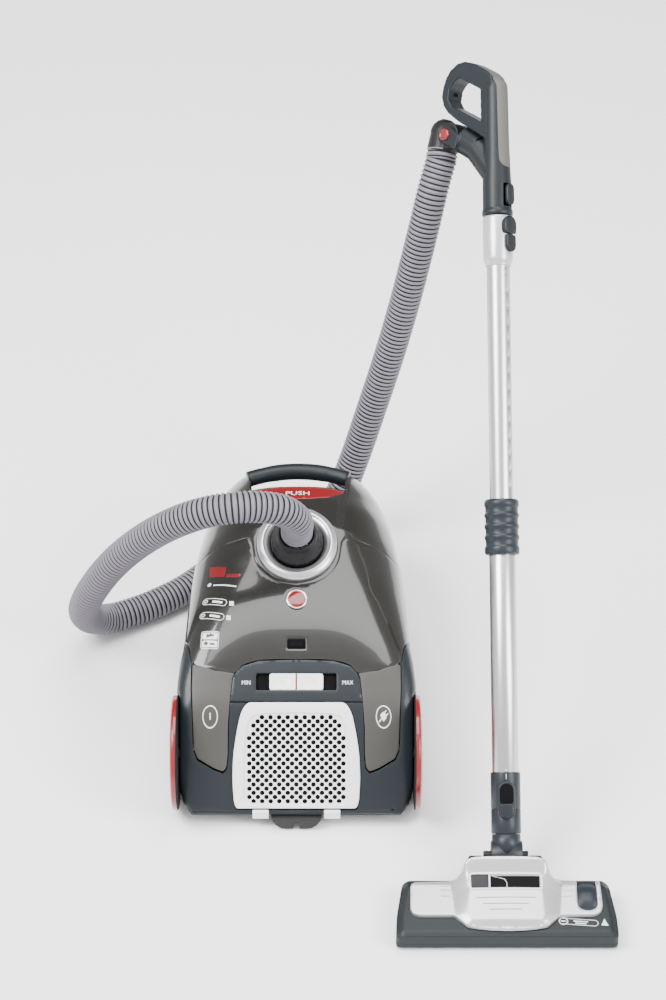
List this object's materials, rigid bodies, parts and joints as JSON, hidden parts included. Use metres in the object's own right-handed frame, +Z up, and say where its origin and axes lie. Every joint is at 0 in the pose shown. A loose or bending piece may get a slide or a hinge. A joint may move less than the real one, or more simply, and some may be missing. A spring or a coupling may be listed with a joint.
{
  "type": "canister vacuum cleaner",
  "caption": "Canister vacuum cleaner with ringed hose, telescopic wand, loop handle and floor head; opening bag lid, pedals, power slider and exhaust grille.",
  "frame": {"origin": "middle of the footprint of everything but the hose, on the floor", "axes": "+X to the right seen from behind the canister, +Y from the floor head and the rear grille towards the canister front and the handle, +Z up"},
  "size_m": [0.6801, 0.8604, 0.6957],
  "materials": {
    "glossy_cover": "high-gloss moulded, dark warm grey",
    "base_plastic": "satin-gloss moulded, blue-grey",
    "panel_plastic": "satin-gloss moulded, dark slate",
    "pedal_plastic": "fine-textured warm grey",
    "handle_plastic": "satin slate",
    "red_plastic": "high-gloss red",
    "white_plastic": "satin white",
    "silver_plastic": "metallic-silver satin moulding",
    "badge_chrome": "bright, plain",
    "tube_aluminium": "satin drawn tube",
    "nozzle_plastic": "satin slate",
    "pearl_plastic": "pearl silver-white satin",
    "black_plastic": "near-black, satin",
    "hose_plastic": "soft corrugated grey",
    "inlay_rubber": "soft taupe inlay",
    "tread_rubber": "matte tread",
    "smoke_lens": "dark smoked lens",
    "filter_paper": "pleated and felted fibre",
    "filter_foam": "open-cell foam",
    "motor_metal": "pressed steel",
    "fan_aluminium": "bare pressed",
    "board_green": "circuit board",
    "cord_black": "wound mains flex"
  },
  "bodies": {
    "canister": {"base_shell": "base_plastic", "front_cover": "glossy_cover", "control_panel": "panel_plastic", "carry_handle": "handle_plastic", "inlet_ring": "silver_plastic", "inlet_duct": "black_plastic", "bag_holder": "white_plastic", "dust_bag": "filter_paper", "motor_filter": "filter_foam", "motor_housing": "motor_metal", "reel_spindle": "motor_metal", "hepa_filter": "filter_paper", "power_board": "board_green", "cord_outlet": "black_plastic", "parking_clip": "black_plastic", "axle_left": "motor_metal", "axle_right": "motor_metal", "hose": "hose_plastic", "knuckle_cuff": "black_plastic"},
    "bag_lid": {"bag_lid": "glossy_cover", "lid_window": "smoke_lens", "lid_badge": "badge_chrome"},
    "release": {"release_button": "red_plastic", "release_bar": "black_plastic"},
    "power_pedal": {"power_pedal": "pedal_plastic"},
    "rewind_pedal": {"rewind_pedal": "pedal_plastic"},
    "slider": {"power_slider": "white_plastic"},
    "grille": {"exhaust_grille": "white_plastic"},
    "wheel_left": {"wheel_left": "tread_rubber", "wheel_cap_left": "red_plastic"},
    "wheel_right": {"wheel_right": "tread_rubber", "wheel_cap_right": "red_plastic"},
    "caster": {"caster_fork": "black_plastic"},
    "caster_wheel": {"caster_wheel": "tread_rubber"},
    "cuff": {"hose_cuff": "black_plastic"},
    "impeller": {"impeller": "fan_aluminium"},
    "reel": {"cord_reel": "white_plastic", "reel_winding": "cord_black"},
    "handle": {"handle_grip": "handle_plastic", "grip_inlay": "inlay_rubber", "pivot_cap": "red_plastic", "pivot_pin": "motor_metal", "upper_tube": "tube_aluminium", "wand_collar": "pearl_plastic"},
    "handle_latch": {"handle_latch": "panel_plastic"},
    "collar_latch": {"collar_latch": "handle_plastic"},
    "wand_lower": {"lower_tube": "tube_aluminium", "tube_connector": "handle_plastic"},
    "lock_sleeve": {"lock_sleeve": "handle_plastic"},
    "connector_latch": {"connector_latch": "panel_plastic"},
    "neck": {"nozzle_neck": "panel_plastic"},
    "nozzle": {"nozzle_base": "nozzle_plastic", "nozzle_cover": "pearl_plastic", "nozzle_window": "smoke_lens", "sole_plate": "silver_plastic", "neck_pin": "motor_metal"},
    "brush": {"floor_pedal": "handle_plastic", "brush_strip": "black_plastic"},
    "roller_left": {"roller_left": "tread_rubber"},
    "roller_right": {"roller_right": "tread_rubber"}
  },
  "joints": [
    {"name": "lid_hinge", "type": "hinge", "parent": "canister", "child": "bag_lid", "pos_m": [-0.11433, -0.11721, 0.163], "axis": [1, 0, 0], "range_deg": [0, 44]},
    {"name": "release_push", "type": "slide", "parent": "canister", "child": "release", "axis": [0, 0, -1], "range_m": [0, 0.003], "stiffness_N_per_m": 400},
    {"name": "power_press", "type": "hinge", "parent": "canister", "child": "power_pedal", "pos_m": [-0.11433, -0.11821, 0.148], "axis": [1, 0, 0], "range_deg": [0, 4], "stiffness_Nm_per_rad": 3},
    {"name": "rewind_press", "type": "hinge", "parent": "canister", "child": "rewind_pedal", "pos_m": [-0.11433, -0.11821, 0.148], "axis": [1, 0, 0], "range_deg": [0, 4], "stiffness_Nm_per_rad": 3},
    {"name": "power_slide", "type": "slide", "parent": "canister", "child": "slider", "axis": [1, 0, 0], "range_m": [-0.0165, 0.0165]},
    {"name": "grille_hinge", "type": "hinge", "parent": "canister", "child": "grille", "pos_m": [-0.11433, -0.23221, 0.0305], "axis": [1, 0, 0], "range_deg": [0, 75]},
    {"name": "wheel_left_spin", "type": "hinge", "parent": "canister", "child": "wheel_left", "pos_m": [-0.26133, -0.17821, 0.071], "axis": [1, 0, 0], "continuous": true},
    {"name": "wheel_right_spin", "type": "hinge", "parent": "canister", "child": "wheel_right", "pos_m": [0.03267, -0.17821, 0.071], "axis": [1, 0, 0], "continuous": true},
    {"name": "caster_swivel", "type": "hinge", "parent": "canister", "child": "caster", "pos_m": [-0.11433, 0.13679, 0.05], "axis": [0, 0, 1], "continuous": true},
    {"name": "caster_roll", "type": "hinge", "parent": "caster", "child": "caster_wheel", "pos_m": [-0.11433, 0.12279, 0.017], "axis": [1, 0, 0], "continuous": true},
    {"name": "cuff_swivel", "type": "hinge", "parent": "canister", "child": "cuff", "pos_m": [-0.11433, 0.03479, 0.224], "axis": [0, -0.342, 0.9397], "continuous": true},
    {"name": "impeller_spin", "type": "hinge", "parent": "canister", "child": "impeller", "pos_m": [-0.04633, -0.09721, 0.08], "axis": [1, 0, 0], "continuous": true},
    {"name": "reel_spin", "type": "hinge", "parent": "canister", "child": "reel", "pos_m": [-0.19433, -0.09421, 0.08], "axis": [1, 0, 0], "continuous": true},
    {"name": "knuckle_hinge", "type": "hinge", "parent": "canister", "child": "handle", "pos_m": [0.08268, 0.36502, 0.60907], "axis": [0.6691, 0.5014, -0.5485], "range_deg": [-25, 0]},
    {"name": "handle_latch_push", "type": "slide", "parent": "handle", "child": "handle_latch", "axis": [-0.7431, 0.4431, -0.5014], "range_m": [0, 0.002], "stiffness_N_per_m": 400},
    {"name": "collar_latch_push", "type": "slide", "parent": "handle", "child": "collar_latch", "axis": [-0.7431, 0.4431, -0.5014], "range_m": [0, 0.002], "stiffness_N_per_m": 400},
    {"name": "telescope", "type": "slide", "parent": "handle", "child": "wand_lower", "axis": [-0.0084, 0.7431, 0.6691], "range_m": [0, 0.13]},
    {"name": "sleeve_slide", "type": "slide", "parent": "wand_lower", "child": "lock_sleeve", "axis": [-0.0084, 0.7431, 0.6691], "range_m": [0, 0.008], "stiffness_N_per_m": 300},
    {"name": "connector_latch_push", "type": "slide", "parent": "wand_lower", "child": "connector_latch", "axis": [0, 0.6691, -0.7431], "range_m": [0, 0.002], "stiffness_N_per_m": 400},
    {"name": "neck_swivel", "type": "hinge", "parent": "wand_lower", "child": "neck", "pos_m": [0.13917, -0.32411, 0.048], "axis": [-0.0084, 0.7431, 0.6691], "range_deg": [-90, 90]},
    {"name": "nozzle_tilt", "type": "hinge", "parent": "neck", "child": "nozzle", "pos_m": [0.13917, -0.32411, 0.048], "axis": [1, 0, 0], "range_deg": [-40, 30]},
    {"name": "pedal_rock", "type": "hinge", "parent": "nozzle", "child": "brush", "pos_m": [0.23317, -0.38221, 0.012], "axis": [-1, 0, 0], "range_deg": [0, 7]},
    {"name": "roller_left_spin", "type": "hinge", "parent": "nozzle", "child": "roller_left", "pos_m": [0.10017, -0.33821, 0.0086], "axis": [1, 0, 0], "continuous": true},
    {"name": "roller_right_spin", "type": "hinge", "parent": "nozzle", "child": "roller_right", "pos_m": [0.17417, -0.33821, 0.0086], "axis": [1, 0, 0], "continuous": true}
  ]
}
